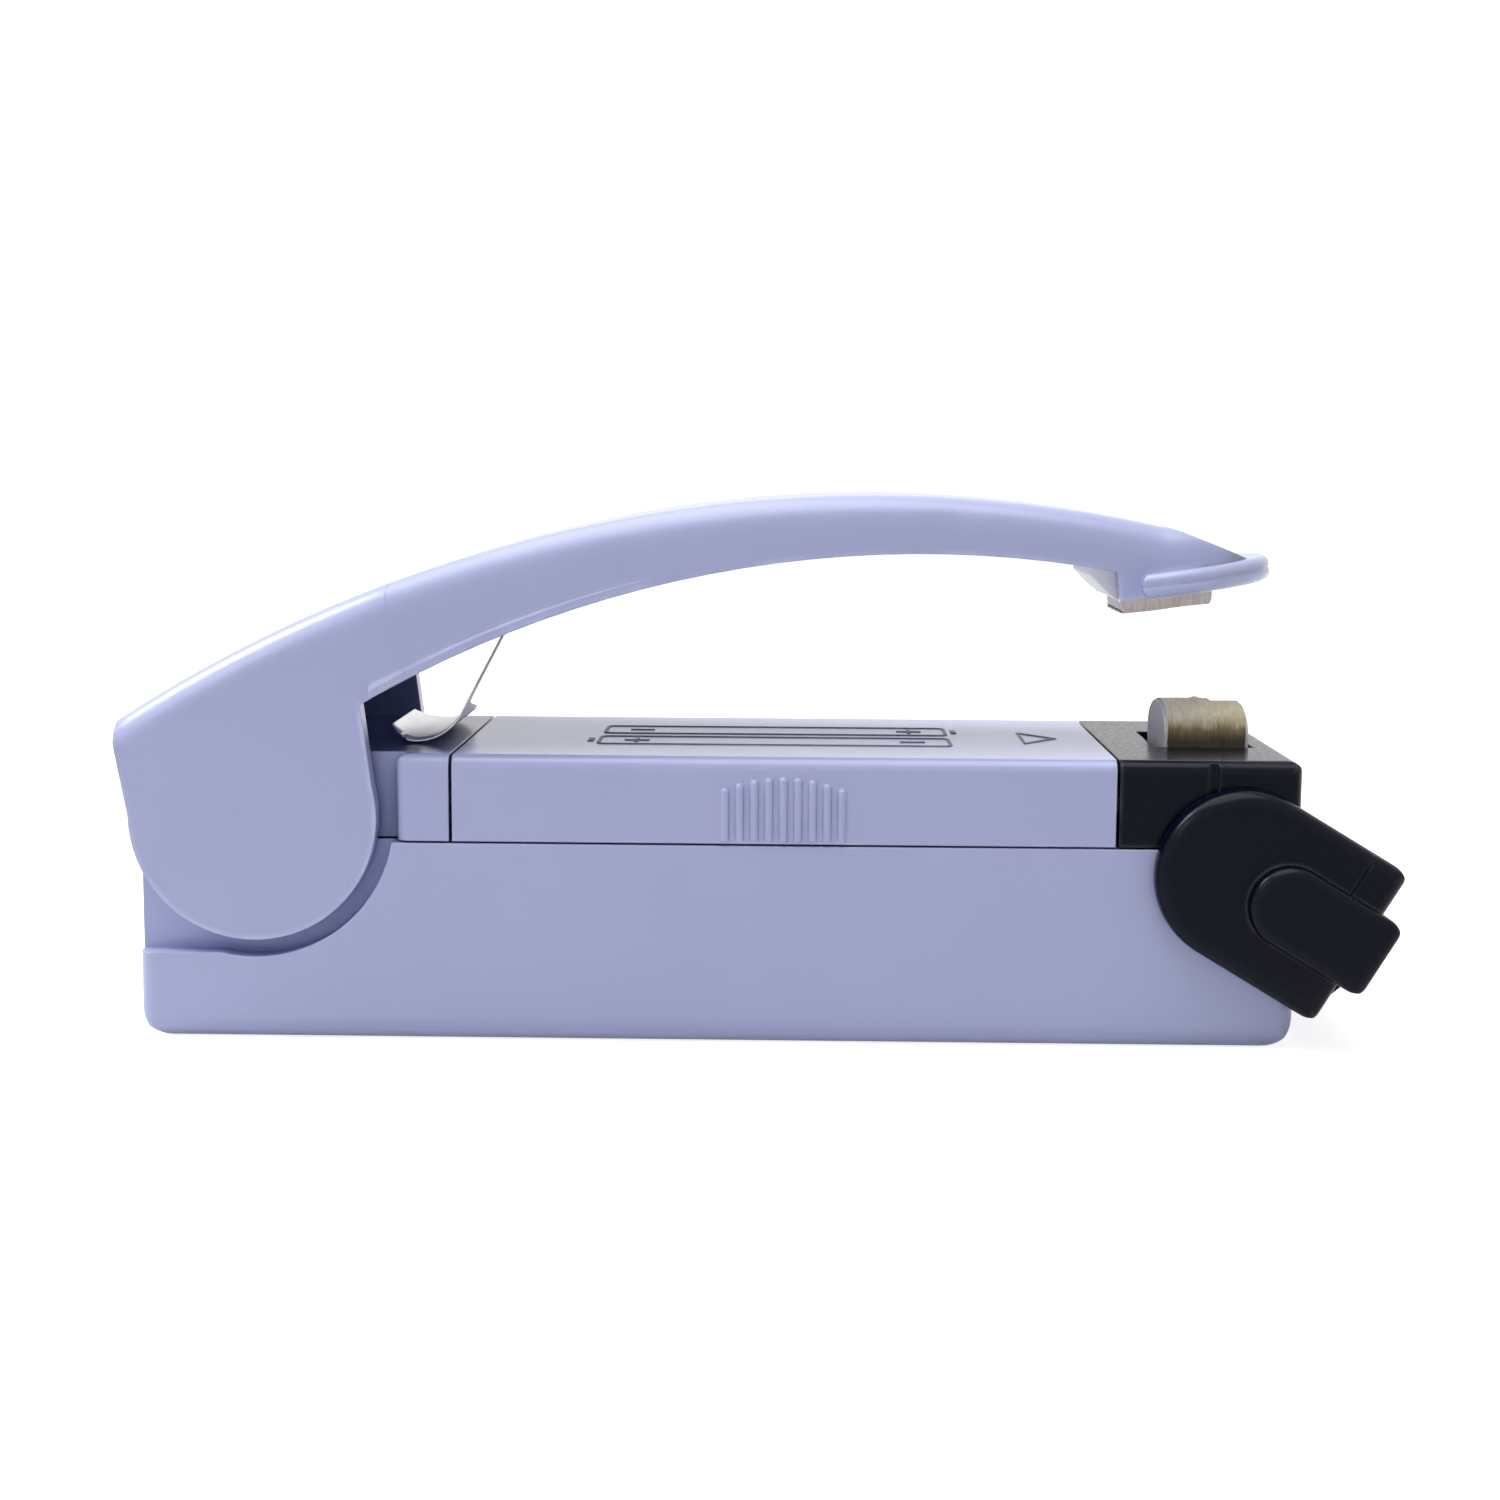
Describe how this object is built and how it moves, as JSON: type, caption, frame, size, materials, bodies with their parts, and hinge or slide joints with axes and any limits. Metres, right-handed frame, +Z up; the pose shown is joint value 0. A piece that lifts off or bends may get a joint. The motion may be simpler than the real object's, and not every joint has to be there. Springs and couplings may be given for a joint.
{
  "type": "handheld bag sealer",
  "caption": "Palm-size battery bag sealer: a sprung lever presses a pad onto a tape-covered heater; a guard swings over the hot end and the battery cover slides off.",
  "frame": {"origin": "centre of the flat underside of the base", "axes": "+X along the body to the hot end, +Y across the body, +Z up"},
  "size_m": [0.1171, 0.0426, 0.0502],
  "materials": {
    "lavender_plastic": "satin moulded",
    "black_plastic": "gloss moulded",
    "woven_tape": "fine woven, slightly waxy",
    "white_plastic": "satin moulded",
    "heater_ceramic": "matt",
    "silicone": "matt",
    "spring_steel": "bright rolled",
    "steel": "turned",
    "nickel": "nickel plated",
    "contact_brass": "plain",
    "cell_jacket": "printed sleeve"
  },
  "bodies": {
    "base": {"base_shell": "lavender_plastic", "rear_housing": "lavender_plastic", "element_housing": "black_plastic", "hinge_pin": "steel", "cell_a": "cell_jacket", "cell_b": "cell_jacket", "bridge_contact": "nickel", "lead_plus": "nickel", "lead_minus": "nickel", "heater_spring": "spring_steel", "case_screws": "steel"},
    "heater": {"heater_carrier": "heater_ceramic", "heater_ribbon": "nickel", "heater_tape": "woven_tape", "moving_contacts": "contact_brass"},
    "lever": {"lever_arm": "lavender_plastic", "pad_holder": "white_plastic", "press_pad": "silicone", "pad_tape": "woven_tape", "leaf_spring": "spring_steel", "leaf_rivets": "steel"},
    "guard": {"safety_guard": "black_plastic"},
    "cover": {"battery_cover": "lavender_plastic"}
  },
  "joints": [
    {"name": "lever_hinge", "type": "hinge", "parent": "base", "child": "lever", "pos_m": [-0.04235, 0, 0.02075], "axis": [0, 1, 0], "range_deg": [0, 7.4], "stiffness_Nm_per_rad": 0.6, "springref_deg": -5.73, "deforming": ["leaf_spring"]},
    {"name": "heater_press", "type": "slide", "parent": "base", "child": "heater", "axis": [0, 0, -1], "range_m": [0, 0.00235], "deforming": ["heater_spring"]},
    {"name": "guard_swing", "type": "hinge", "parent": "base", "child": "guard", "pos_m": [0.04785, 0, 0.01625], "axis": [0, -1, 0], "range_deg": [0, 85]},
    {"name": "cover_slide", "type": "slide", "parent": "base", "child": "cover", "axis": [0, 1, 0], "range_m": [0, 0.036]}
  ],
  "couplings": [
    {"joint": "heater_press", "follows": "lever_hinge", "m_per_rad": 0.018195}
  ]
}
